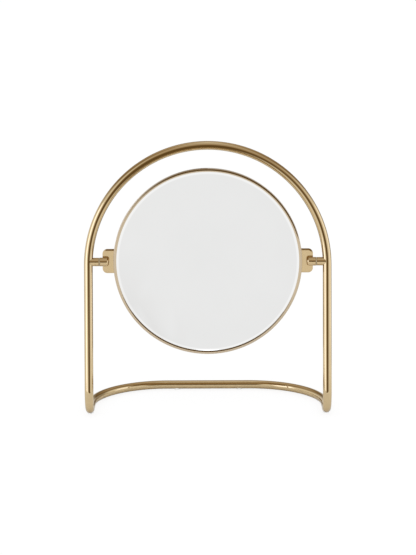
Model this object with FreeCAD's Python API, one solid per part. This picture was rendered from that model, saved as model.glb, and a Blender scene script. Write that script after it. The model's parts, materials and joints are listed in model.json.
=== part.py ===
import FreeCAD, Part
import math
import os
from FreeCAD import Vector

# Table mirror: a round mirror on friction pivots inside a leaning arch of bent brass tube.
# Millimetres and degrees. X runs across the mirror, the front faces -Y, Z is up,
# and the table is at Z = 0. Both sides are built by the same functions with side = -1 or +1.

# Bent tube frame
TUBE_DIAMETER = 12.0
TUBE_WALL = 1.5
LEAN = 10.0                  # the legs and the arch lean back by this angle
SIDE_GAP = 28.5              # from the rim to the inside of each leg
UNDER_GAP = 84.0             # from the rim down to the table, mirror upright
ARCH_DROP = 4.5              # the arch springs this far below the pivots
FOOT_BEND_RADIUS = 27.0      # to the tube's axis
SIDE_RUN = 22.6              # straight tube between foot bend and rear corner
CORNER_RADIUS = 106.0        # to the tube's axis
SEAM_RISE = 18.0             # straight tube between foot bend and leg seam
SLEEVE_LENGTH = 30.0
SLEEVE_WALL = 1.0
SLEEVE_CLEARANCE = 0.05

# Foot pads
PAD_DIAMETER = 8.0
PAD_HEIGHT = 1.0             # lifts the tube off the table
REAR_PAD_SPACING = 90.0

# Mirror stack, front to back
RIM_DIAMETER = 259.0
RIM_WALL = 1.5
LIP_WIDTH = 4.0              # front lip, over glass and wall
LIP_THICKNESS = 2.0
LIP_CREST = 1.4              # from the lip's inner edge out to its ridge
LIP_INNER_SLOPE = 12.0       # degrees, from the ridge in to the glass
LIP_OUTER_SLOPE = 9.0        # degrees, from the ridge out to the wall
LIP_RIDGE_ROUND = 3.0
LIP_EDGE_ROUND = 0.5         # between lip and wall
REAR_LIP_WIDTH = 1.0         # edge rolled over the back cover
REAR_LIP_THICKNESS = 0.5
REAR_EDGE_CHAMFER = 0.4
GLASS_THICKNESS = 3.0
GLASS_EDGE_BEVEL = 0.5
ADHESIVE_MARGIN = 9.7        # from the adhesive's edge to the glass's edge
ADHESIVE_THICKNESS = 0.8
BOARD_THICKNESS = 3.0
COVER_THICKNESS = 1.0
STACK_CLEARANCE = 0.3        # glass, board and cover inside the rim's wall

# Pivots, along each pivot line from the leg towards the mirror
POST_DIAMETER = 11.6
SPIGOT_DIAMETER = 6.0        # brazed into the leg's wall
BRAZE_GAP = 0.1              # round the spigot and under the post's saddle
SPIGOT_END_REACH = 1.5       # past the wall into the bore
POST_EDGE_CHAMFER = 0.4
WASHER_THICKNESS = 1.0
THRUST_CLEARANCE = 0.15      # between washer and knuckle
KNUCKLE_DIAMETER = 12.0
KNUCKLE_LENGTH = 12.5        # with its rounded end
KNUCKLE_END_ROUND = 3.5
KNUCKLE_RIM_GAP = 6.3        # from the knuckle's rounded end to the rim
KNUCKLE_EDGE_CHAMFER = 0.4
BORE_DEPTH = 8.5
BUSH_WALL = 1.0
AXLE_DIAMETER = 5.0
AXLE_CLEARANCE = 0.05        # radial, in bush and washer
AXLE_END_GAP = 0.5
AXLE_END_CHAMFER = 0.4

# Hinge plates and their fixings
PLATE_HEIGHT = 33.5
PLATE_THICKNESS = 4.0
PLATE_OVERHANG = 15.2        # past the rim, towards the leg
PLATE_GRIP = 30.0            # behind the mirror
PLATE_CORNER_RADIUS = 6.5
PLATE_BEVEL_WIDTH = 2.2      # round the front face
PLATE_BEVEL_DEPTH = 0.6
PLATE_EDGE_ROUND = 1.2       # round the rear face
SCREW_DIAMETER = 4.0
SCREW_HEAD_DIAMETER = 7.6
SCREW_SPACING = 16.0
SCREW_FROM_PLATE_END = 10.0
SOCKET_ACROSS_FLATS = 2.5
SOCKET_DEPTH = 1.6
SCREW_CLEARANCE = 0.2        # radial, in plate and cover
NUT_PLATE_THICKNESS = 2.0
NUT_PLATE_WIDTH = 14.0
NUT_PLATE_MARGIN = 7.0       # past each screw's axis
NUT_POCKET_CLEARANCE = 0.2

# Worked out from the values above
tube_radius = TUBE_DIAMETER / 2
bore_radius = tube_radius - TUBE_WALL
rim_radius = RIM_DIAMETER / 2
leg_x = rim_radius + SIDE_GAP + tube_radius
lean = math.radians(LEAN)
leg_direction = Vector(0, math.sin(lean), math.cos(lean))
foot_tangent = FOOT_BEND_RADIUS * math.tan((math.pi / 2 + lean) / 2)
axis_height = PAD_HEIGHT + tube_radius

# The corner is where a leg's axis would meet the base's level if the foot had no bend.
# The middle of the frame's depth is at Y = 0.
front_from_corner = foot_tangent - FOOT_BEND_RADIUS - tube_radius
rear_bar_from_corner = foot_tangent + SIDE_RUN + CORNER_RADIUS
corner_y = -(front_from_corner + rear_bar_from_corner + tube_radius) / 2
rear_bar_y = corner_y + rear_bar_from_corner

pivot_z = UNDER_GAP + rim_radius
pivot_rise = (pivot_z - axis_height) / math.cos(lean)
pivot_y = corner_y + pivot_rise * math.sin(lean)
spring_rise = pivot_rise - ARCH_DROP
seam_rise = foot_tangent + SEAM_RISE

rim_depth = LIP_THICKNESS + GLASS_THICKNESS + ADHESIVE_THICKNESS + BOARD_THICKNESS + COVER_THICKNESS
rim_front = pivot_y - rim_depth / 2
glass_front = rim_front + LIP_THICKNESS
adhesive_front = glass_front + GLASS_THICKNESS
board_front = adhesive_front + ADHESIVE_THICKNESS
cover_front = board_front + BOARD_THICKNESS
rim_rear = cover_front + COVER_THICKNESS
wall_radius = rim_radius - RIM_WALL
stack_radius = wall_radius - STACK_CLEARANCE

knuckle_radius = KNUCKLE_DIAMETER / 2
axle_radius = AXLE_DIAMETER / 2
bush_bore_radius = axle_radius + AXLE_CLEARANCE
bush_radius = bush_bore_radius + BUSH_WALL
knuckle_tip_x = rim_radius + KNUCKLE_RIM_GAP
knuckle_face_x = knuckle_tip_x + KNUCKLE_LENGTH
washer_face_x = knuckle_face_x + THRUST_CLEARANCE
shoulder_x = washer_face_x + WASHER_THICKNESS
bore_end_x = knuckle_face_x - BORE_DEPTH

plate_outer_x = rim_radius + PLATE_OVERHANG
plate_inner_x = rim_radius - PLATE_GRIP
plate_rear = rim_rear + PLATE_THICKNESS
screw_x = plate_inner_x + SCREW_FROM_PLATE_END
screw_heights = (-SCREW_SPACING / 2, SCREW_SPACING / 2)
nut_plate_front = cover_front - NUT_PLATE_THICKNESS


def leg_point(side, rise):
    """A point on a leg's axis, this far up along it from the corner."""
    return Vector(side * leg_x, corner_y, axis_height) + leg_direction * rise


def base_point(side, back):
    """A point at the base's level, this far behind a leg's corner."""
    return Vector(side * leg_x, corner_y + back, axis_height)


def line(start, end):
    return Part.LineSegment(start, end).toShape()


def arc(start, centre, end):
    """The shorter arc from start to end about centre."""
    middle = (start - centre) + (end - centre)
    middle.normalize()
    return Part.Arc(start, centre + middle * (start - centre).Length, end).toShape()


def round_bar(path, start, direction, radius):
    """A solid round bar along a path of lines and arcs."""
    section = Part.Wire([Part.Circle(start, direction, radius).toShape()])
    return Part.Wire(path).makePipe(Part.Face(section))


def turned(points, centre, axis):
    """Revolve a closed outline, given as (distance along the axis, radius), about the axis."""
    axis = Vector(axis)
    across = Vector(0, 0, 1)
    corners = [centre + axis * along + across * radius for along, radius in points]
    outline = Part.makePolygon(corners + corners[:1])
    return Part.Face(outline).revolve(centre, axis, 360)


def circle_edges(shape, centre):
    """The round edges of a turned shape that are centred on this point."""
    return [edge for edge in shape.Edges
            if isinstance(edge.Curve, Part.Circle) and edge.Curve.Center.isEqual(centre, 1e-6)]


def write(shape, node):
    shape.exportStep("parts/" + node + ".step")


# Frame

def arch_path():
    """From the left leg seam over the top to the right leg seam."""
    top = Vector(0, corner_y, axis_height) + leg_direction * (spring_rise + leg_x)
    left_spring = leg_point(-1, spring_rise)
    right_spring = leg_point(1, spring_rise)
    return [
        line(leg_point(-1, seam_rise), left_spring),
        Part.Arc(left_spring, top, right_spring).toShape(),
        line(right_spring, leg_point(1, seam_rise)),
    ]


def base_path():
    """From the left leg seam round the back to the right leg seam."""
    run_end = foot_tangent + SIDE_RUN
    bar_end_x = leg_x - CORNER_RADIUS

    def bend_centre(side):
        return base_point(side, foot_tangent) + Vector(0, 0, FOOT_BEND_RADIUS)

    def corner_centre(side):
        return Vector(side * bar_end_x, corner_y + run_end, axis_height)

    def bar_end(side):
        return Vector(side * bar_end_x, rear_bar_y, axis_height)

    left_foot = leg_point(-1, foot_tangent)
    right_foot = leg_point(1, foot_tangent)
    return [
        line(leg_point(-1, seam_rise), left_foot),
        arc(left_foot, bend_centre(-1), base_point(-1, foot_tangent)),
        line(base_point(-1, foot_tangent), base_point(-1, run_end)),
        arc(base_point(-1, run_end), corner_centre(-1), bar_end(-1)),
        line(bar_end(-1), bar_end(1)),
        arc(bar_end(1), corner_centre(1), base_point(1, run_end)),
        line(base_point(1, run_end), base_point(1, foot_tangent)),
        arc(base_point(1, foot_tangent), bend_centre(1), right_foot),
        line(right_foot, leg_point(1, seam_rise)),
    ]


def arch_bar(radius):
    return round_bar(arch_path(), leg_point(-1, seam_rise), leg_direction, radius)


def base_bar(radius):
    return round_bar(base_path(), leg_point(-1, seam_rise), -leg_direction, radius)


def frame_arch():
    """Tube with a hole in the inner side of each leg for the post's spigot."""
    tube = arch_bar(tube_radius).cut(arch_bar(bore_radius))
    for side in (-1, 1):
        hole_radius = SPIGOT_DIAMETER / 2 + BRAZE_GAP
        hole_start = Vector(side * leg_x, pivot_y, pivot_z)
        tube = tube.cut(Part.makeCylinder(hole_radius, TUBE_DIAMETER, hole_start, Vector(-side, 0, 0)))
    return tube


def base_loop():
    return base_bar(tube_radius).cut(base_bar(bore_radius))


def leg_sleeve(side):
    """A short tube inside the leg, half above and half below the seam."""
    start = leg_point(side, seam_rise - SLEEVE_LENGTH / 2)
    radius = bore_radius - SLEEVE_CLEARANCE
    outer = Part.makeCylinder(radius, SLEEVE_LENGTH, start, leg_direction)
    return outer.cut(Part.makeCylinder(radius - SLEEVE_WALL, SLEEVE_LENGTH, start, leg_direction))


def foot_pad(x, y):
    """A round pad hollowed on top to the tube above it."""
    blank = Part.makeCylinder(PAD_DIAMETER / 2, axis_height, Vector(x, y, 0))
    return blank.cut(base_bar(tube_radius))


# Pivots

def pivot_post(side):
    """Spigot, saddle, shoulder and axle, turned about the pivot line."""
    post_radius = POST_DIAMETER / 2
    spigot_radius = SPIGOT_DIAMETER / 2
    leg_inside = leg_x - bore_radius
    axle_end = bore_end_x + AXLE_END_GAP
    axis_start = Vector(0, pivot_y, pivot_z)
    outward = Vector(side, 0, 0)
    body = turned([
        (axle_end, 0),
        (axle_end, axle_radius - AXLE_END_CHAMFER),
        (axle_end + AXLE_END_CHAMFER, axle_radius),
        (shoulder_x, axle_radius),
        (shoulder_x, post_radius - POST_EDGE_CHAMFER),
        (shoulder_x + POST_EDGE_CHAMFER, post_radius),
        (leg_x, post_radius),
        (leg_x, 0),
    ], axis_start, outward)
    spigot_end = leg_inside + SPIGOT_END_REACH
    spigot = turned([
        (shoulder_x, 0),
        (shoulder_x, spigot_radius),
        (spigot_end, spigot_radius),
        (spigot_end, 0),
    ], axis_start, outward)
    saddle = arch_bar(tube_radius + BRAZE_GAP)
    return body.cut(saddle).fuse(spigot).removeSplitter()


def thrust_washer(side):
    return turned([
        (washer_face_x, axle_radius + AXLE_CLEARANCE),
        (washer_face_x, POST_DIAMETER / 2),
        (shoulder_x, POST_DIAMETER / 2),
        (shoulder_x, axle_radius + AXLE_CLEARANCE),
    ], Vector(0, pivot_y, pivot_z), Vector(side, 0, 0))


def knuckle_blank(side):
    """Round barrel with a rounded inner end, before it is bored."""
    barrel = turned([
        (knuckle_tip_x, 0),
        (knuckle_tip_x, knuckle_radius),
        (knuckle_face_x - KNUCKLE_EDGE_CHAMFER, knuckle_radius),
        (knuckle_face_x, knuckle_radius - KNUCKLE_EDGE_CHAMFER),
        (knuckle_face_x, 0),
    ], Vector(0, pivot_y, pivot_z), Vector(side, 0, 0))
    end = circle_edges(barrel, Vector(side * knuckle_tip_x, pivot_y, pivot_z))
    return barrel.makeFillet(KNUCKLE_END_ROUND, end)


def knuckle(side):
    bore_start = Vector(side * bore_end_x, pivot_y, pivot_z)
    bore = Part.makeCylinder(bush_radius, BORE_DEPTH, bore_start, Vector(side, 0, 0))
    return knuckle_blank(side).cut(bore)


def friction_bush(side):
    return turned([
        (bore_end_x, bush_bore_radius),
        (bore_end_x, bush_radius),
        (knuckle_face_x, bush_radius),
        (knuckle_face_x, bush_bore_radius),
    ], Vector(0, pivot_y, pivot_z), Vector(side, 0, 0))


# Mirror

def mirror_turned(points):
    """Revolve an outline of (Y, radius) about the mirror's own axis."""
    return turned(points, Vector(0, 0, pivot_z), Vector(0, 1, 0))


def rim_ring():
    """Channel-shaped ring: ridged front lip, outer wall and an edge rolled over the back cover."""
    lip_radius = rim_radius - LIP_WIDTH
    inner_edge = rim_front + LIP_CREST * math.tan(math.radians(LIP_INNER_SLOPE))
    outer_edge = rim_front + (LIP_WIDTH - LIP_CREST) * math.tan(math.radians(LIP_OUTER_SLOPE))
    ring = mirror_turned([
        (inner_edge, lip_radius),
        (rim_front, lip_radius + LIP_CREST),
        (outer_edge, rim_radius),
        (rim_rear - REAR_EDGE_CHAMFER, rim_radius),
        (rim_rear, rim_radius - REAR_EDGE_CHAMFER),
        (rim_rear, wall_radius - REAR_LIP_WIDTH),
        (rim_rear - REAR_LIP_THICKNESS, wall_radius - REAR_LIP_WIDTH),
        (rim_rear - REAR_LIP_THICKNESS, wall_radius),
        (glass_front, wall_radius),
        (glass_front, lip_radius),
    ])
    for edge_y, radius in ((rim_front, LIP_RIDGE_ROUND), (outer_edge, LIP_EDGE_ROUND)):
        ring = ring.makeFillet(radius, circle_edges(ring, Vector(0, edge_y, pivot_z)))
    return ring


def mirror_glass():
    return mirror_turned([
        (glass_front, 0),
        (glass_front, stack_radius - GLASS_EDGE_BEVEL),
        (glass_front + GLASS_EDGE_BEVEL, stack_radius),
        (adhesive_front, stack_radius),
        (adhesive_front, 0),
    ])


def adhesive_pad():
    return Part.makeCylinder(stack_radius - ADHESIVE_MARGIN, ADHESIVE_THICKNESS,
                             Vector(0, adhesive_front, pivot_z), Vector(0, 1, 0))


def upright_block(x_span, height, y_span):
    """A block centred on the pivots' height."""
    x_min = min(x_span)
    width = max(x_span) - x_min
    corner = Vector(x_min, y_span[0], pivot_z - height / 2)
    return Part.makeBox(width, y_span[1] - y_span[0], height, corner)


def screw_hole(side, height, radius, y_span):
    start = Vector(side * screw_x, y_span[0], pivot_z + height)
    return Part.makeCylinder(radius, y_span[1] - y_span[0], start, Vector(0, 1, 0))


def nut_plate_block(side, clearance):
    inner = side * (screw_x - NUT_PLATE_WIDTH / 2 - clearance)
    outer = side * (screw_x + NUT_PLATE_WIDTH / 2 + clearance)
    height = SCREW_SPACING + 2 * (NUT_PLATE_MARGIN + clearance)
    return upright_block((inner, outer), height, (nut_plate_front, cover_front))


def backing_board():
    board = Part.makeCylinder(stack_radius, BOARD_THICKNESS,
                              Vector(0, board_front, pivot_z), Vector(0, 1, 0))
    for side in (-1, 1):
        board = board.cut(nut_plate_block(side, NUT_POCKET_CLEARANCE))
    return board


def nut_plate(side):
    plate = nut_plate_block(side, 0)
    for height in screw_heights:
        plate = plate.cut(screw_hole(side, height, SCREW_DIAMETER / 2, (nut_plate_front, cover_front)))
    return plate


def back_cover():
    """Sheet with a stepped edge that the rim's rear lip is rolled over."""
    step_radius = wall_radius - REAR_LIP_WIDTH - STACK_CLEARANCE
    step = rim_rear - REAR_LIP_THICKNESS
    cover = mirror_turned([
        (cover_front, 0),
        (cover_front, stack_radius),
        (step, stack_radius),
        (step, step_radius),
        (rim_rear, step_radius),
        (rim_rear, 0),
    ])
    hole_radius = SCREW_DIAMETER / 2 + SCREW_CLEARANCE
    for side in (-1, 1):
        for height in screw_heights:
            cover = cover.cut(screw_hole(side, height, hole_radius, (cover_front, rim_rear)))
    return cover


# Hinge plates and screws

def countersink(side, height, clearance):
    """The cone under a flush screw head, 90 degrees across."""
    depth = (SCREW_HEAD_DIAMETER - SCREW_DIAMETER) / 2
    base = Vector(side * screw_x, plate_rear - depth, pivot_z + height)
    return Part.makeCone(SCREW_DIAMETER / 2 + clearance, SCREW_HEAD_DIAMETER / 2 + clearance,
                         depth, base, Vector(0, 1, 0))


def hinge_plate(side):
    """Rounded plate with a seat for the knuckle and two countersunk holes."""
    plate = upright_block((side * plate_inner_x, side * plate_outer_x), PLATE_HEIGHT,
                          (rim_rear, plate_rear))
    corners = [edge for edge in plate.Edges
               if abs(edge.Vertexes[0].Y - edge.Vertexes[-1].Y) > PLATE_THICKNESS / 2]
    plate = plate.makeFillet(PLATE_CORNER_RADIUS, corners)
    front = [edge for edge in plate.Edges
             if edge.BoundBox.YMax < rim_rear + PLATE_BEVEL_DEPTH]
    plate = plate.makeChamfer(PLATE_BEVEL_DEPTH, PLATE_BEVEL_WIDTH, front)
    rear = [edge for edge in plate.Edges
            if edge.BoundBox.YMin > plate_rear - PLATE_EDGE_ROUND]
    plate = plate.makeFillet(PLATE_EDGE_ROUND, rear)
    plate = plate.cut(knuckle_blank(side))
    hole_radius = SCREW_DIAMETER / 2 + SCREW_CLEARANCE
    for height in screw_heights:
        plate = plate.cut(screw_hole(side, height, hole_radius, (rim_rear, plate_rear)))
        plate = plate.cut(countersink(side, height, SCREW_CLEARANCE))
    return plate


def hinge_screws(side):
    """Two flush screws through plate and cover into the nut plate."""
    screws = []
    for height in screw_heights:
        shank = screw_hole(side, height, SCREW_DIAMETER / 2, (nut_plate_front, plate_rear))
        screw = shank.fuse(countersink(side, height, 0))
        socket_centre = Vector(side * screw_x, plate_rear - SOCKET_DEPTH, pivot_z + height)
        socket_radius = SOCKET_ACROSS_FLATS / math.sqrt(3)
        corners = []
        for corner in range(6):
            angle = math.radians(60 * corner)
            corners.append(socket_centre + Vector(math.cos(angle), 0, math.sin(angle)) * socket_radius)
        hexagon = Part.Face(Part.makePolygon(corners + corners[:1]))
        screw = screw.cut(hexagon.extrude(Vector(0, SOCKET_DEPTH, 0)))
        screws.append(screw.Solids[0])
    return Part.makeCompound(screws)


os.makedirs("parts", exist_ok=True)

write(frame_arch(), "frame_arch")
write(base_loop(), "base_loop")
write(rim_ring(), "rim_ring")
write(mirror_glass(), "mirror_glass")
write(adhesive_pad(), "adhesive_pad")
write(backing_board(), "backing_board")
write(back_cover(), "back_cover")

front_pad_y = corner_y + foot_tangent
for side, name in ((-1, "left"), (1, "right")):
    write(leg_sleeve(side), "leg_sleeve_" + name)
    write(pivot_post(side), "pivot_post_" + name)
    write(thrust_washer(side), "thrust_washer_" + name)
    write(knuckle(side), "knuckle_" + name)
    write(friction_bush(side), "friction_bush_" + name)
    write(hinge_plate(side), "hinge_plate_" + name)
    write(nut_plate(side), "nut_plate_" + name)
    write(hinge_screws(side), "hinge_screws_" + name)
    write(foot_pad(side * leg_x, front_pad_y), "foot_pad_front_" + name)
    write(foot_pad(side * REAR_PAD_SPACING / 2, rear_bar_y), "foot_pad_rear_" + name)
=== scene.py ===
import json
import math

import bpy
from mathutils import Matrix, Vector


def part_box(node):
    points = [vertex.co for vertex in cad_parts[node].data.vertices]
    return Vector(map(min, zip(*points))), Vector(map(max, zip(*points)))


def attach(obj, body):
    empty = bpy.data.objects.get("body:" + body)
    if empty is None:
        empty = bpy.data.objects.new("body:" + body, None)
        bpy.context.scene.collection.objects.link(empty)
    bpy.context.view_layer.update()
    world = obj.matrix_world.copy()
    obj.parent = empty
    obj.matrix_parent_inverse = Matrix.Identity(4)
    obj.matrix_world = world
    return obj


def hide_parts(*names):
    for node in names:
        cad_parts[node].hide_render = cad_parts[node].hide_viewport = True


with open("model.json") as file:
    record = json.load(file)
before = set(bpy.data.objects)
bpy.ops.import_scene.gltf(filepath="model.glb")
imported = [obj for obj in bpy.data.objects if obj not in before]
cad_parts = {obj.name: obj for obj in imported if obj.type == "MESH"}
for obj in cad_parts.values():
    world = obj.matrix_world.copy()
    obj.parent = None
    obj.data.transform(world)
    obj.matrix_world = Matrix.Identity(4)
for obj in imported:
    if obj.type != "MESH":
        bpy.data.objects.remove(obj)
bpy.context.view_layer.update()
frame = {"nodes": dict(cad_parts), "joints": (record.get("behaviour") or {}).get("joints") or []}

# A round table mirror in polished brass: the CAD frame dressed with smooth tube, rim and glass,
# procedural finishes, a pale studio and the photograph's camera. Metres, Z up, front towards -Y.

# Sizes shared with the CAD frame
MM = 0.001
TUBE_RADIUS = 6.0 * MM
TUBE_WALL = 1.5 * MM
LEAN = math.radians(10)
LEG_X = 164.0 * MM
ARCH_DROP = 4.5 * MM          # from the pivots down the legs to the arch's centre
FOOT_BEND_RADIUS = 27.0 * MM
SIDE_RUN = 22.6 * MM
CORNER_RADIUS = 106.0 * MM
SEAM_RISE = 18.0 * MM         # from the foot bend up the leg to the seam
RIM_RADIUS = 129.5 * MM
RIM_WALL = 1.5 * MM
LIP_WIDTH = 4.0 * MM
LIP_THICKNESS = 2.0 * MM
LIP_CREST = 1.4 * MM          # from the lip's inner edge out to its ridge
LIP_INNER_SLOPE = math.radians(12)
LIP_OUTER_SLOPE = math.radians(9)
LIP_RIDGE_ROUND = 3.0 * MM
LIP_EDGE_ROUND = 0.5 * MM
REAR_LIP_WIDTH = 1.0 * MM
REAR_LIP_THICKNESS = 0.5 * MM
REAR_EDGE_ROUND = 0.4 * MM
GLASS_THICKNESS = 3.0 * MM
GLASS_EDGE_BEVEL = 0.5 * MM
STACK_CLEARANCE = 0.3 * MM

# Mesh fineness, with angles in degrees
RING_STEPS = 64
ARCH_STEPS = 160
CORNER_STEPS = 64
FOOT_STEPS = 40
TURN_STEPS = 288
ROUNDING_STEPS = 10
SHARP_ANGLE = 35
GLASS_SHARP_ANGLE = 1         # keeps the glass flat up to its bevel

# Brass: each roughness goes from the best polished place to the most worn one
BRASS_COLOUR = (0.62, 0.472, 0.268)
TUBE_COLOUR = (0.62, 0.482, 0.280)
RIM_COLOUR = (0.575, 0.470, 0.335)
BRASS_EDGE = (0.85, 0.85, 0.85)
RIM_EDGE = (1.0, 1.0, 1.0)
TUBE_ROUGHNESS = (0.05, 0.10)
RIM_ROUGHNESS = (0.05, 0.11)
LATHE_ROUGHNESS = (0.06, 0.13)
PLATE_ROUGHNESS = (0.08, 0.17)
COVER_ROUGHNESS = (0.2, 0.3)
COVER_ANISOTROPY = 0.8
WORN_SPAN = (0.3, 0.75)
CLOUDING = 0.02
CLOUD_CELLS = 45
# Painted shade: how far out from where surfaces meet the brass colour is darkened
PAINTED_SHADE_REACH = 0.8 * MM

# Polishing marks: cells to the metre, or to the radian round the tube
MARK_DEPTH = 0.002 * MM
TUBE_MARKS_ROUND = 26
TUBE_MARKS_ALONG = 30
LATHE_MARKS = (2600, 90, 90)
SPUN_RINGS = 1400
SPUN_SWIRL = (9, 900, 9)
PLATE_MARKS = (1800, 600, 45)

# Glass and the hidden materials
SILVER = 0.79
SILVER_HAZE = 0.008
HAZE_CELLS = 12
# Painted highlight: the mirror is brighter in a band just inside the rim
SILVER_HIGHLIGHT = 0.88
HIGHLIGHT_BAND_WIDTH = 2.6 * MM         # painted highlight: a brighter band just inside the rim
SMEAR_CELLS = 160
SMEAR_SPAN = (0.4, 0.8)
GLASS_ROUGHNESS = (0.004, 0.02)
STEEL_DARK = (0.52, 0.52, 0.53)
STEEL_LIGHT = (0.66, 0.66, 0.67)
STEEL_ROUGHNESS = (0.25, 0.4)
SILICONE_CLARITY = 0.95
SILICONE_IOR = 1.41
NOISE_MEAN = 0.5
NOISE_MIDDLE = (0.3, 0.7)     # where most of a noise lies

# Floor
FLOOR_HALF = 8.0
FLOOR_ALBEDO = 0.9
FLOOR_WHITE = 1.03
FLOOR_LIFT_SEEN = 0.85
FLOOR_LIFT_MIRRORED = 0.1

# Curtain that the brass mirrors. Angles in degrees, from the curtain's middle or above the floor
CURTAIN_RADIUS = 2.4
CURTAIN_NEAR = 0.33           # where the dim floor begins, out from the mirror
CURTAIN_LIFT = 0.01
CURTAIN_COLUMNS = 72
CURTAIN_ROWS = 24
APRON_ROWS = 6
APRON_ANGLE = -10             # stands for the dim floor in the curtain's map
HALF_TURN = 180
QUARTER_TURN = 90
CURTAIN_MIDDLE = 8            # to the right of the front
LOW_TONE = 0.17
MID_TONE = 0.56
HIGH_TONE = 1.0
LOW_SPAN = (14, 44)           # low tone to middle tone
HIGH_SPAN = (50, 95)          # middle tone to high tone
SIDE_SPAN = (30, 60)
SIDE_DIM = 0.55
BACK_SPAN = (110, 150)
BACK_GAIN = 0.4
WARM_COLOUR = (1.0, 0.66, 0.27)
WARM_SPAN = (0.15, 0.85)      # tones from warm to white

# White panels at both sides of the curtain
PANEL_FADE = (12, 32)
PANEL_LEAN = 0.3              # degrees out for each degree up, and down for each degree out
PANEL_CROWN = (57, 76)
FLOOR_BEHIND_SPAN = (120, 160)
FLOOR_BEHIND_DIM = 0.65
FLAG_START = (105, 135)       # from the front round to the right
FLAG_END = (155, 180)
FLAG_DIM = 0.7

# Lamps
FILL_RADIANCE = 0.97
FILL_COLOUR = (0.88, 0.94, 1.0)
FILL_NEAR = 0.25
FILL_WIDTH = 3.0
SOFTBOX_COLOUR = (0.85, 0.95, 1.3)
SOFTBOX_DISTANCE = 2.0
SOFTBOX_HEIGHT = 1.7
SOFTBOX_EDGE = 0.3            # share of the face that fades at each side and at the top

# Camera, from the photograph's framing
IMAGE_WIDTH = 416
IMAGE_HEIGHT = 555
CAMERA_DISTANCE = 3.0
CAMERA_ELEVATION = math.radians(11.5)
CAMERA_ROLL = math.radians(-0.2)
CAMERA_REACH = 100
PIXELS_PER_METRE = 728.0      # at the arch's centre
ARCH_CENTRE_PIXEL = (207.8, 264.9)

# Places worked out from the frame
pivot = Vector(frame["joints"][0]["pos_m"])
leg_direction = Vector((0, math.sin(LEAN), math.cos(LEAN)))
arch_centre = pivot - leg_direction * ARCH_DROP
axis_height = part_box("base_loop")[0].z + TUBE_RADIUS
corner_y = pivot.y - (pivot.z - axis_height) * math.tan(LEAN)
foot_tangent = FOOT_BEND_RADIUS * math.tan((math.pi / 2 + LEAN) / 2)
seam_rise = foot_tangent + SEAM_RISE
glass_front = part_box("mirror_glass")[0].y
rim_front = glass_front - LIP_THICKNESS
rim_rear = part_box("rim_ring")[1].y
lip_radius = RIM_RADIUS - LIP_WIDTH
wall_radius = RIM_RADIUS - RIM_WALL


# Mesh helpers

def add_object(name, data):
    thing = bpy.data.objects.new(name, data)
    bpy.context.scene.collection.objects.link(thing)
    return thing


def add_mesh(name, vertices, faces, sharp_angle=SHARP_ANGLE):
    mesh = bpy.data.meshes.new(name)
    mesh.from_pydata([tuple(v) for v in vertices], [], faces)
    mesh.validate()
    mesh.shade_smooth()
    mesh.set_sharp_from_angle(angle=math.radians(sharp_angle))
    return add_object(name, mesh)


def arc(centre, start, axis, angle, steps):
    """Points and tangents on an arc, from start through angle about axis."""
    radius = start - centre
    stops = []
    for step in range(steps + 1):
        turn = Matrix.Rotation(angle * step / steps, 3, axis)
        point = turn @ radius
        tangent = axis.cross(point).normalized() * math.copysign(1, angle)
        stops.append((centre + point, tangent))
    return stops


def swept_tube(name, path, outer, inner):
    """A tube with a wall along stops of (point, tangent), closed by a flat ring at each end."""
    last_direction = path[0][1]
    across = last_direction.orthogonal().normalized()
    vertices = []
    for point, direction in path:
        turn = last_direction.rotation_difference(direction)
        across = (turn @ across).normalized()
        other = direction.cross(across)
        for radius in (outer, inner):
            for step in range(RING_STEPS):
                angle = 2 * math.pi * step / RING_STEPS
                vertices.append(point + (across * math.cos(angle) + other * math.sin(angle)) * radius)
        last_direction = direction
    faces = []
    row = 2 * RING_STEPS
    for stop in range(len(path) - 1):
        base = stop * row
        for step in range(RING_STEPS):
            after = (step + 1) % RING_STEPS
            faces.append((base + step, base + after, base + row + after, base + row + step))
            low = base + RING_STEPS
            faces.append((low + after, low + step, low + row + step, low + row + after))
    last = (len(path) - 1) * row
    for step in range(RING_STEPS):
        after = (step + 1) % RING_STEPS
        faces.append((after, step, RING_STEPS + step, RING_STEPS + after))
        faces.append((last + step, last + after, last + RING_STEPS + after, last + RING_STEPS + step))
    return add_mesh(name, vertices, faces)


def rounded(corners):
    """A closed outline of (y, radius) from corners of (y, radius, rounding)."""
    outline = []
    for place, (y, radius, rounding) in enumerate(corners):
        corner = Vector((y, radius, 0))
        if rounding == 0:
            outline.append((y, radius))
            continue
        before = corners[place - 1]
        after = corners[(place + 1) % len(corners)]
        to_before = (Vector((before[0], before[1], 0)) - corner).normalized()
        to_after = (Vector((after[0], after[1], 0)) - corner).normalized()
        half_angle = to_before.angle(to_after) / 2
        centre = corner + (to_before + to_after).normalized() * rounding / math.sin(half_angle)
        reach = rounding / math.tan(half_angle)
        start = corner + to_before * reach - centre
        end = corner + to_after * reach - centre
        for step in range(ROUNDING_STEPS + 1):
            point = centre + start.slerp(end, step / ROUNDING_STEPS) * rounding
            outline.append((point.x, point.y))
    return outline


def turned(name, outline, sharp_angle=SHARP_ANGLE):
    """Revolve a closed outline of (Y, radius) about the mirror's axis. A radius of 0 closes to a point."""
    vertices = []
    rows = []
    for y, radius in outline:
        if radius == 0:
            rows.append([len(vertices)] * TURN_STEPS)
            vertices.append((pivot.x, y, pivot.z))
            continue
        rows.append(list(range(len(vertices), len(vertices) + TURN_STEPS)))
        for step in range(TURN_STEPS):
            angle = 2 * math.pi * step / TURN_STEPS
            vertices.append((pivot.x + radius * math.sin(angle), y, pivot.z + radius * math.cos(angle)))
    faces = []
    for row, following in zip(rows, rows[1:] + rows[:1]):
        for step in range(TURN_STEPS):
            after = (step + 1) % TURN_STEPS
            corners = [row[step], row[after], following[after], following[step]]
            face = [corner for place, corner in enumerate(corners) if corner not in corners[:place]]
            if len(face) > 2:
                faces.append(face)
    return add_mesh(name, vertices, faces, sharp_angle)


# Frame tube

def leg_point(side, rise):
    return Vector((side * LEG_X, corner_y, axis_height)) + leg_direction * rise


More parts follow.
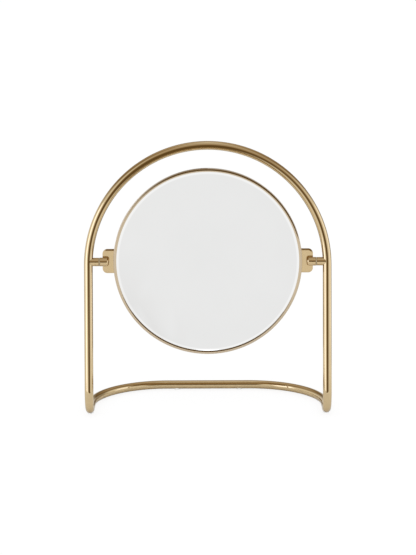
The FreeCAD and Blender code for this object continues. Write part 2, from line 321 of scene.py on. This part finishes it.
def arch_path():
    """From the left leg seam over the top to the right leg seam."""
    spring_rise = (arch_centre.z - axis_height) / math.cos(LEAN)
    across = Vector((1, 0, 0)).cross(leg_direction)
    start = (leg_point(-1, seam_rise), leg_direction)
    over = arc(arch_centre, leg_point(-1, spring_rise), across, -math.pi, ARCH_STEPS)
    end = (leg_point(1, seam_rise), -leg_direction)
    return [start] + over + [end]


def base_path():
    """From the left leg seam round the back to the right leg seam."""
    right = Vector((1, 0, 0))
    up = Vector((0, 0, 1))
    back = Vector((0, 1, 0))
    foot_turn = math.pi / 2 + LEAN
    corner_turn = -math.pi / 2
    run_y = corner_y + foot_tangent

    def foot_centre(side):
        return Vector((side * LEG_X, run_y, axis_height + FOOT_BEND_RADIUS))

    def corner_centre(side):
        return Vector((side * (LEG_X - CORNER_RADIUS), run_y + SIDE_RUN, axis_height))

    left_start = corner_centre(-1) - right * CORNER_RADIUS
    right_start = corner_centre(1) + back * CORNER_RADIUS
    left_foot = arc(foot_centre(-1), leg_point(-1, foot_tangent), right, foot_turn, FOOT_STEPS)
    left_corner = arc(corner_centre(-1), left_start, up, corner_turn, CORNER_STEPS)
    right_corner = arc(corner_centre(1), right_start, up, corner_turn, CORNER_STEPS)
    right_foot = arc(foot_centre(1), foot_centre(1) - up * FOOT_BEND_RADIUS, right, -foot_turn, FOOT_STEPS)
    start = (leg_point(-1, seam_rise), -leg_direction)
    end = (leg_point(1, seam_rise), leg_direction)
    return [start] + left_foot + left_corner + right_corner + right_foot + [end]


# Mirror

def rim_outline():
    """Ridged front lip, outer wall and an edge rolled over the back cover."""
    inner_edge = rim_front + LIP_CREST * math.tan(LIP_INNER_SLOPE)
    outer_edge = rim_front + (LIP_WIDTH - LIP_CREST) * math.tan(LIP_OUTER_SLOPE)
    rear_lip_radius = wall_radius - REAR_LIP_WIDTH
    return rounded([
        (inner_edge, lip_radius, 0),
        (rim_front, lip_radius + LIP_CREST, LIP_RIDGE_ROUND),
        (outer_edge, RIM_RADIUS, LIP_EDGE_ROUND),
        (rim_rear, RIM_RADIUS, REAR_EDGE_ROUND),
        (rim_rear, rear_lip_radius, 0),
        (rim_rear - REAR_LIP_THICKNESS, rear_lip_radius, 0),
        (rim_rear - REAR_LIP_THICKNESS, wall_radius, 0),
        (glass_front, wall_radius, 0),
        (glass_front, lip_radius, 0),
    ])


def glass_outline():
    """A flat disc with a small bevel round its front edge."""
    edge = wall_radius - STACK_CLEARANCE
    return [
        (glass_front, 0),
        (glass_front, edge - GLASS_EDGE_BEVEL),
        (glass_front + GLASS_EDGE_BEVEL, edge),
        (glass_front + GLASS_THICKNESS, edge),
        (glass_front + GLASS_THICKNESS, 0),
    ]


# Material helpers

def new_material(name):
    material = bpy.data.materials.new(name)
    material.use_nodes = True
    return material, material.node_tree, material.node_tree.nodes["Principled BSDF"]


def math_node(tree, operation, first, second):
    """First is a socket, second a socket or a number."""
    node = tree.nodes.new("ShaderNodeMath")
    node.operation = operation
    tree.links.new(first, node.inputs[0])
    if isinstance(second, (int, float)):
        node.inputs[1].default_value = second
    else:
        tree.links.new(second, node.inputs[1])
    return node.outputs[0]


def distance_from(tree, value, number):
    """How far a value is from a number, either way."""
    return math_node(tree, "ABSOLUTE", math_node(tree, "SUBTRACT", value, number), 0)


def map_range(tree, value, span, to=(0, 1), smooth=False):
    """Take a value from one span to another and hold it at their ends."""
    node = tree.nodes.new("ShaderNodeMapRange")
    node.interpolation_type = "SMOOTHSTEP" if smooth else "LINEAR"
    for socket, number in zip(("From Min", "From Max", "To Min", "To Max"), (*span, *to)):
        node.inputs[socket].default_value = number
    tree.links.new(value, node.inputs["Value"])
    return node.outputs["Result"]


def vector_node(tree, operation, first, second):
    """First is a socket, second three numbers."""
    node = tree.nodes.new("ShaderNodeVectorMath")
    node.operation = operation
    tree.links.new(first, node.inputs[0])
    node.inputs[1].default_value = second
    return node


def scaled(tree, vector, factors):
    return vector_node(tree, "MULTIPLY", vector, factors).outputs["Vector"]


def split_vector(tree, vector):
    """The sockets X, Y and Z of a vector."""
    node = tree.nodes.new("ShaderNodeSeparateXYZ")
    tree.links.new(vector, node.inputs[0])
    return node.outputs["X"], node.outputs["Y"], node.outputs["Z"]


def object_place(tree):
    return tree.nodes.new("ShaderNodeTexCoord").outputs["Object"]


def pivot_place(tree):
    """Place measured from the middle of the pivot line."""
    return vector_node(tree, "SUBTRACT", object_place(tree), tuple(pivot)).outputs["Vector"]


def axis_distance(tree):
    """Distance from the mirror's own axis."""
    flat = scaled(tree, pivot_place(tree), (1, 0, 1))
    return vector_node(tree, "LENGTH", flat, (0, 0, 0)).outputs["Value"]


def noise(tree, place, detail):
    """Noise with one cell to each unit of place."""
    node = tree.nodes.new("ShaderNodeTexNoise")
    node.inputs["Scale"].default_value = 1.0
    node.inputs["Detail"].default_value = detail
    tree.links.new(place, node.inputs["Vector"])
    return node.outputs[0]


def even_noise(tree, cells, detail):
    """Noise with this many cells to the metre."""
    return noise(tree, scaled(tree, object_place(tree), (cells, cells, cells)), detail)


def colour_ramp(tree, factor, span, low, high):
    """A colour that goes from low to high over a span of the factor."""
    ramp = tree.nodes.new("ShaderNodeValToRGB")
    for element, position, colour in zip(ramp.color_ramp.elements, span, (low, high)):
        element.position = position
        element.color = (*colour, 1)
    tree.links.new(factor, ramp.inputs["Fac"])
    return ramp.outputs["Color"]


def bump(tree, principled, height, depth):
    node = tree.nodes.new("ShaderNodeBump")
    node.inputs["Distance"].default_value = depth
    tree.links.new(height, node.inputs["Height"])
    tree.links.new(node.outputs["Normal"], principled.inputs["Normal"])


def mix_shaders(tree, factor, first, second):
    """Show a mix of two shaders, all of the second where the factor is 1."""
    mix = tree.nodes.new("ShaderNodeMixShader")
    tree.links.new(factor, mix.inputs["Fac"])
    tree.links.new(first.outputs[0], mix.inputs[1])
    tree.links.new(second.outputs[0], mix.inputs[2])
    tree.links.new(mix.outputs[0], tree.nodes["Material Output"].inputs["Surface"])


# Polishing marks: each gives a texture space that is stretched along them

def tube_marks(tree):
    """Along the tube. The normal stays the same along it and turns round it."""
    normal = tree.nodes.new("ShaderNodeTexCoord").outputs["Normal"]
    total = tree.nodes.new("ShaderNodeVectorMath")
    tree.links.new(scaled(tree, normal, (TUBE_MARKS_ROUND,) * 3), total.inputs[0])
    tree.links.new(scaled(tree, object_place(tree), (TUBE_MARKS_ALONG,) * 3), total.inputs[1])
    return total.outputs["Vector"]


def lathe_marks(tree):
    """Round the pivot line."""
    return scaled(tree, object_place(tree), LATHE_MARKS)


def spun_marks(tree):
    """Round the mirror's own axis."""
    x, y, z = split_vector(tree, scaled(tree, pivot_place(tree), SPUN_SWIRL))
    rings = math_node(tree, "MULTIPLY", axis_distance(tree), SPUN_RINGS)
    place = tree.nodes.new("ShaderNodeCombineXYZ")
    tree.links.new(math_node(tree, "ADD", rings, x), place.inputs["X"])
    tree.links.new(y, place.inputs["Y"])
    tree.links.new(z, place.inputs["Z"])
    return place.outputs["Vector"]


def plate_marks(tree):
    """Up and down the hinge plates."""
    return scaled(tree, object_place(tree), PLATE_MARKS)


# Materials

def brass(name, colour, marks, roughness, edge=BRASS_EDGE):
    """Polished brass with fine marks, slight clouding, and painted shade where it meets other surfaces."""
    material, tree, principled = new_material(name)
    scratches = noise(tree, marks(tree), detail=5)
    clouds = even_noise(tree, CLOUD_CELLS, detail=2)
    low = [channel * (1 - CLOUDING) for channel in colour]
    high = [channel * (1 + CLOUDING) for channel in colour]
    # Painted shade: the colour darkens where other surfaces come close, at joints between parts and near the
    # floor
    painted_shade = tree.nodes.new("ShaderNodeAmbientOcclusion")
    painted_shade.inputs["Distance"].default_value = PAINTED_SHADE_REACH
    tree.links.new(colour_ramp(tree, clouds, NOISE_MIDDLE, low, high), painted_shade.inputs["Color"])
    tree.links.new(painted_shade.outputs["Color"], principled.inputs["Base Color"])
    principled.inputs["Metallic"].default_value = 1.0
    principled.inputs["Specular Tint"].default_value = (*edge, 1)
    worn = math_node(tree, "ADD", scratches, math_node(tree, "SUBTRACT", clouds, NOISE_MEAN))
    tree.links.new(map_range(tree, worn, WORN_SPAN, roughness), principled.inputs["Roughness"])
    bump(tree, principled, scratches, MARK_DEPTH)
    return material


def spun_brass():
    """Satin brass turned on a lathe, so that its highlights fan out from the middle."""
    material = brass("cover_brass", BRASS_COLOUR, spun_marks, COVER_ROUGHNESS)
    tree = material.node_tree
    tangent = tree.nodes.new("ShaderNodeTangent")
    tangent.direction_type = "RADIAL"
    tangent.axis = "Y"
    principled = tree.nodes["Principled BSDF"]
    tree.links.new(tangent.outputs["Tangent"], principled.inputs["Tangent"])
    principled.inputs["Anisotropic"].default_value = COVER_ANISOTROPY
    return material


def steel():
    """Plain steel with drawn marks."""
    material, tree, principled = new_material("steel")
    scratches = noise(tree, plate_marks(tree), detail=4)
    colour = colour_ramp(tree, scratches, NOISE_MIDDLE, STEEL_DARK, STEEL_LIGHT)
    tree.links.new(colour, principled.inputs["Base Color"])
    tree.links.new(map_range(tree, scratches, NOISE_MIDDLE, STEEL_ROUGHNESS), principled.inputs["Roughness"])
    principled.inputs["Metallic"].default_value = 1.0
    return material


def silvered_glass():
    """A clear, clean mirror, with a painted highlight: a brighter band round its edge."""
    material, tree, principled = new_material("silvered_glass")
    clouds = even_noise(tree, HAZE_CELLS, detail=3)
    haze = map_range(tree, clouds, NOISE_MIDDLE, (SILVER - SILVER_HAZE, SILVER + SILVER_HAZE))
    # Painted highlight: a brighter band just inside the rim
    border = lip_radius - HIGHLIGHT_BAND_WIDTH
    painted_highlight = map_range(tree, axis_distance(tree), (border - HIGHLIGHT_BAND_WIDTH / 2, border), (0, SILVER_HIGHLIGHT - SILVER))
    tone = math_node(tree, "ADD", haze, painted_highlight)
    grey = tree.nodes.new("ShaderNodeCombineColor")
    for channel in grey.inputs:
        tree.links.new(tone, channel)
    tree.links.new(grey.outputs["Color"], principled.inputs["Base Color"])
    principled.inputs["Metallic"].default_value = 1.0
    smears = even_noise(tree, SMEAR_CELLS, detail=4)
    tree.links.new(map_range(tree, smears, SMEAR_SPAN, GLASS_ROUGHNESS), principled.inputs["Roughness"])
    return material


def plain(name, low, high, cells, roughness, depth):
    """A moulded, pressed or foamed material with an even grain."""
    material, tree, principled = new_material(name)
    grain = even_noise(tree, cells, detail=4)
    tree.links.new(colour_ramp(tree, grain, NOISE_MIDDLE, low, high), principled.inputs["Base Color"])
    tree.links.new(map_range(tree, grain, NOISE_MIDDLE, roughness), principled.inputs["Roughness"])
    bump(tree, principled, grain, depth)
    return material


def amber_nylon():
    return plain("nylon", low=(0.44, 0.34, 0.20), high=(0.52, 0.41, 0.25), cells=400,
                 roughness=(0.35, 0.5), depth=0.01 * MM)


def white_foam():
    return plain("foam", low=(0.84, 0.84, 0.82), high=(0.91, 0.91, 0.89), cells=1200,
                 roughness=(0.8, 0.95), depth=0.1 * MM)


def brown_board():
    return plain("board", low=(0.38, 0.28, 0.19), high=(0.52, 0.40, 0.29), cells=500,
                 roughness=(0.7, 0.9), depth=0.05 * MM)


def clear_silicone():
    material = plain("clear_silicone", low=(0.84, 0.84, 0.83), high=(0.92, 0.92, 0.91), cells=900,
                     roughness=(0.25, 0.4), depth=0.02 * MM)
    principled = material.node_tree.nodes["Principled BSDF"]
    principled.inputs["Transmission Weight"].default_value = SILICONE_CLARITY
    principled.inputs["IOR"].default_value = SILICONE_IOR
    return material


# Studio

def add_stage(name, vertices, faces, material):
    mesh = bpy.data.meshes.new(name)
    mesh.from_pydata(vertices, [], faces)
    mesh.materials.append(material)
    stage = add_object(name, mesh)
    return stage


def pale_floor():
    """Lit by the room, lifted towards white where it is seen, and a little where it is mirrored."""
    material, tree, principled = new_material("pale_floor")
    principled.inputs["Base Color"].default_value = (FLOOR_ALBEDO, FLOOR_ALBEDO, FLOOR_ALBEDO, 1)
    principled.inputs["Roughness"].default_value = 1.0
    principled.inputs["Specular IOR Level"].default_value = 0.0
    path = tree.nodes.new("ShaderNodeLightPath").outputs
    mirrored = math_node(tree, "MULTIPLY", path["Is Glossy Ray"], FLOOR_LIFT_MIRRORED)
    seen = math_node(tree, "MAXIMUM", path["Is Camera Ray"], path["Is Transmission Ray"])
    seen = math_node(tree, "MULTIPLY", seen, FLOOR_LIFT_SEEN)
    lift = math_node(tree, "MAXIMUM", seen, mirrored)
    white = tree.nodes.new("ShaderNodeEmission")
    white.inputs["Strength"].default_value = FLOOR_WHITE
    mix_shaders(tree, lift, principled, white)
    return material


def add_floor():
    half = FLOOR_HALF
    corners = [(-half, -half, 0), (half, -half, 0), (half, half, 0), (-half, half, 0)]
    add_stage("floor", corners, [(0, 1, 2, 3)], pale_floor())


def cloth_tone(tree, away, high):
    """Dark low down and paler with height, dimmed at the sides and less behind."""
    low = map_range(tree, high, LOW_SPAN, (LOW_TONE, MID_TONE), smooth=True)
    top = map_range(tree, high, HIGH_SPAN, (0, HIGH_TONE - MID_TONE))
    sides = map_range(tree, away, SIDE_SPAN, (1, SIDE_DIM))
    back = map_range(tree, away, BACK_SPAN, (0, BACK_GAIN))
    return math_node(tree, "MULTIPLY", math_node(tree, "ADD", low, top), math_node(tree, "ADD", sides, back))


def panel_share(tree, side, away, high):
    """How much white panel shows: at both sides, with edges that lean out and tops that slope down.

    The dim cloth shows again on the floor behind, and in a flag behind on the right.
    """
    lean = math_node(tree, "MULTIPLY", math_node(tree, "MAXIMUM", high, 0), PANEL_LEAN)
    share = map_range(tree, math_node(tree, "SUBTRACT", away, lean), PANEL_FADE, smooth=True)
    crown = math_node(tree, "ADD", high, math_node(tree, "MULTIPLY", away, PANEL_LEAN))
    share = math_node(tree, "MULTIPLY", share, map_range(tree, crown, PANEL_CROWN, (1, 0)))
    behind = map_range(tree, away, FLOOR_BEHIND_SPAN, (0, FLOOR_BEHIND_DIM), smooth=True)
    on_floor = map_range(tree, high, (APRON_ANGLE, 0), (1, 0))
    behind = math_node(tree, "MULTIPLY", behind, on_floor)
    flag_start = map_range(tree, side, FLAG_START, (0, FLAG_DIM), smooth=True)
    flag_end = map_range(tree, side, FLAG_END, (0, FLAG_DIM), smooth=True)
    flag = math_node(tree, "SUBTRACT", flag_start, flag_end)
    return math_node(tree, "SUBTRACT", share, math_node(tree, "MAXIMUM", behind, flag))


def curtain_cloth():
    """Glowing cloth, warm where it is dim, between white panels."""
    material, tree, principled = new_material("dim_curtain")
    tree.nodes.remove(principled)
    angles = tree.nodes.new("ShaderNodeTexCoord").outputs["UV"]
    side, high = split_vector(tree, angles)[:2]
    away = distance_from(tree, side, CURTAIN_MIDDLE)
    tone = cloth_tone(tree, away, high)
    glow = tree.nodes.new("ShaderNodeEmission")
    tree.links.new(colour_ramp(tree, tone, WARM_SPAN, WARM_COLOUR, (1, 1, 1)), glow.inputs["Color"])
    tree.links.new(tone, glow.inputs["Strength"])
    panels = tree.nodes.new("ShaderNodeEmission")
    mix_shaders(tree, panel_share(tree, side, away, high), glow, panels)
    return material


def add_curtain():
    """A glowing dome and floor round the object, for reflections. The camera doesn't see it.

    Its UV map holds each point's angle from the front and angle above the floor, in degrees.
    """
    stops = []
    for row in range(APRON_ROWS):
        radius = CURTAIN_NEAR + (CURTAIN_RADIUS - CURTAIN_NEAR) * row / APRON_ROWS
        stops.append((radius, CURTAIN_LIFT, APRON_ANGLE))
    for row in range(CURTAIN_ROWS + 1):
        high = QUARTER_TURN * row / CURTAIN_ROWS
        angle = math.radians(high)
        height = CURTAIN_LIFT + CURTAIN_RADIUS * math.sin(angle)
        stops.append((CURTAIN_RADIUS * math.cos(angle), height, high))
    vertices = []
    angles = []
    for radius, height, high in stops:
        for column in range(CURTAIN_COLUMNS + 1):
            side = HALF_TURN * (2 * column / CURTAIN_COLUMNS - 1)
            angle = math.radians(side)
            vertices.append((math.sin(angle) * radius, pivot.y - math.cos(angle) * radius, height))
            angles.append((side, high))
    faces = []
    width = CURTAIN_COLUMNS + 1
    for row in range(len(stops) - 1):
        for column in range(CURTAIN_COLUMNS):
            corner = row * width + column
            faces.append((corner, corner + 1, corner + width + 1, corner + width))
    curtain = add_stage("curtain", vertices, faces, curtain_cloth())
    curtain.visible_camera = False
    curtain.visible_diffuse = False
    curtain.visible_shadow = False
    layer = curtain.data.uv_layers.new(name="angles")
    for loop in curtain.data.loops:
        layer.data[loop.index].uv = angles[loop.vertex_index]


def aimed(place, target):
    """A matrix at place whose -Z points to target and whose Y points up."""
    turn = (target - place).to_track_quat("-Z", "Y").to_matrix().to_4x4()
    return Matrix.Translation(place) @ turn


def add_lamp(name, width, height, radiance, colour, matrix):
    """An area lamp with a face of this radiance, which the camera doesn't see."""
    data = bpy.data.lights.new(name, "AREA")
    data.shape = "RECTANGLE"
    data.size = width
    data.size_y = height
    data.energy = radiance * math.pi * width * height
    data.color = colour
    data.use_nodes = True
    lamp = add_object(name, data)
    lamp.matrix_world = matrix
    lamp.visible_camera = False
    return lamp


def set_strength(lamp, strength):
    tree = lamp.data.node_tree
    tree.links.new(strength, tree.nodes["Emission"].inputs["Strength"])


def add_front_fill(receivers):
    """A pale sheet of light lying over the dim floor in front, which only the given pieces mirror.

    It fades where the white panels begin, so that the glass mirrors an even tone.
    """
    place = Vector((0, pivot.y - FILL_NEAR - CURTAIN_RADIUS / 2, 2 * CURTAIN_LIFT))
    facing_up = Matrix.Translation(place) @ Matrix.Rotation(math.pi, 4, "X")
    sheet = add_lamp("front_fill", FILL_WIDTH, CURTAIN_RADIUS, FILL_RADIANCE, FILL_COLOUR, facing_up)
    tree = sheet.data.node_tree
    position = tree.nodes.new("ShaderNodeNewGeometry").outputs["Position"]
    from_pivot = vector_node(tree, "SUBTRACT", position, tuple(pivot)).outputs["Vector"]
    x, y = split_vector(tree, from_pivot)[:2]
    ahead = math_node(tree, "MULTIPLY", y, -1)
    side = math_node(tree, "MULTIPLY", math_node(tree, "ARCTAN2", x, ahead), HALF_TURN / math.pi)
    away = distance_from(tree, side, CURTAIN_MIDDLE)
    set_strength(sheet, map_range(tree, away, PANEL_FADE, (1, 0), smooth=True))
    lit = bpy.data.collections.new("front_fill_pieces")
    for piece in receivers:
        lit.objects.link(piece)
    sheet.light_linking.receiver_collection = lit


def add_softbox(name, side, width, radiance):
    """An upright lamp on the floor at this angle from the front, faded towards its sides and top."""
    angle = math.radians(side)
    middle = SOFTBOX_HEIGHT / 2
    place = Vector((math.sin(angle) * SOFTBOX_DISTANCE, -math.cos(angle) * SOFTBOX_DISTANCE, middle))
    aim = aimed(place, Vector((0, 0, middle)))
    softbox = add_lamp(name, width, SOFTBOX_HEIGHT, radiance, SOFTBOX_COLOUR, aim)
    tree = softbox.data.node_tree
    face = tree.nodes.new("ShaderNodeNewGeometry").outputs["Parametric"]
    across, up = split_vector(tree, face)[:2]      # each from 0 to 1 over the lamp's face
    sides = map_range(tree, distance_from(tree, across, 0.5), (0.5 - SOFTBOX_EDGE, 0.5), (1, 0), smooth=True)
    top = map_range(tree, up, (1 - SOFTBOX_EDGE, 1), (1, 0), smooth=True)
    set_strength(softbox, math_node(tree, "MULTIPLY", sides, top))


def add_world():
    """A white room."""
    world = bpy.data.worlds.new("white_room")
    world.use_nodes = True
    background = world.node_tree.nodes["Background"]
    background.inputs["Color"].default_value = (1, 1, 1, 1)
    background.inputs["Strength"].default_value = 1.0
    bpy.context.scene.world = world


def add_camera():
    """The photograph's camera: it sees the arch's centre at the pixel where the photograph has it."""
    toward = Vector((0, -math.cos(CAMERA_ELEVATION), math.sin(CAMERA_ELEVATION)))
    up = Vector((0, math.sin(CAMERA_ELEVATION), math.cos(CAMERA_ELEVATION)))
    place = arch_centre + toward * CAMERA_DISTANCE
    right_shift = (IMAGE_WIDTH / 2 - ARCH_CENTRE_PIXEL[0]) / PIXELS_PER_METRE
    down_shift = (IMAGE_HEIGHT / 2 - ARCH_CENTRE_PIXEL[1]) / PIXELS_PER_METRE
    target = arch_centre + Vector((right_shift, 0, 0)) - up * down_shift
    data = bpy.data.cameras.new("camera")
    data.lens = PIXELS_PER_METRE * CAMERA_DISTANCE * data.sensor_width / IMAGE_HEIGHT
    data.clip_end = CAMERA_REACH
    camera = add_object("camera", data)
    camera.matrix_world = aimed(place, target) @ Matrix.Rotation(CAMERA_ROLL, 4, "Z")
    bpy.context.scene.camera = camera


# Dressing

def dress(piece, body, node, material):
    """Let a smooth piece stand for a CAD node."""
    piece.data.materials.append(material)
    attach(piece, body)
    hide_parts(node)


# Finish the CAD nodes that stay, by the start of their names

tube_brass = brass("tube_brass", TUBE_COLOUR, tube_marks, TUBE_ROUGHNESS)
rim_brass = brass("rim_brass", RIM_COLOUR, spun_marks, RIM_ROUGHNESS, RIM_EDGE)
lathe_brass = brass("turned_brass", BRASS_COLOUR, lathe_marks, LATHE_ROUGHNESS)
plate_brass = brass("plate_brass", BRASS_COLOUR, plate_marks, PLATE_ROUGHNESS)
nylon = amber_nylon()
finishes = {
    "leg_sleeve": tube_brass,
    "pivot_post": lathe_brass,
    "thrust_washer": nylon,
    "knuckle": lathe_brass,
    "hinge_plate": plate_brass,
    "hinge_screws": lathe_brass,
    "nut_plate": steel(),
    "back_cover": spun_brass(),
    "friction_bush": nylon,
    "adhesive_pad": white_foam(),
    "backing_board": brown_board(),
    "foot_pad": clear_silicone(),
}
for name, node in frame["nodes"].items():
    for start, material in finishes.items():
        if name.startswith(start):
            node.data.materials.clear()
            node.data.materials.append(material)

# Replace the tubes, the rim and the glass by smooth pieces

bore = TUBE_RADIUS - TUBE_WALL
arch = swept_tube("arch_tube", arch_path(), TUBE_RADIUS, bore)
base = swept_tube("base_tube", base_path(), TUBE_RADIUS, bore)
rim = turned("ridged_rim", rim_outline())
glass = turned("silvered_glass", glass_outline(), GLASS_SHARP_ANGLE)
dress(arch, "stand", "frame_arch", tube_brass)
dress(base, "stand", "base_loop", tube_brass)
dress(rim, "mirror", "rim_ring", rim_brass)
dress(glass, "mirror", "mirror_glass", silvered_glass())

# Light it and look at it

add_floor()
add_curtain()
add_world()
add_softbox("softbox_left", side=-59, width=1.8, radiance=1.2)
add_softbox("softbox_right", side=80, width=1.4, radiance=0.6)
hinge_stems = ("hinge_plate", "knuckle", "pivot_post")
hinges = [node for name, node in frame["nodes"].items() if name.startswith(hinge_stems)]
add_front_fill([glass, rim] + hinges)
add_camera()
bpy.context.scene.view_settings.view_transform = "Standard"
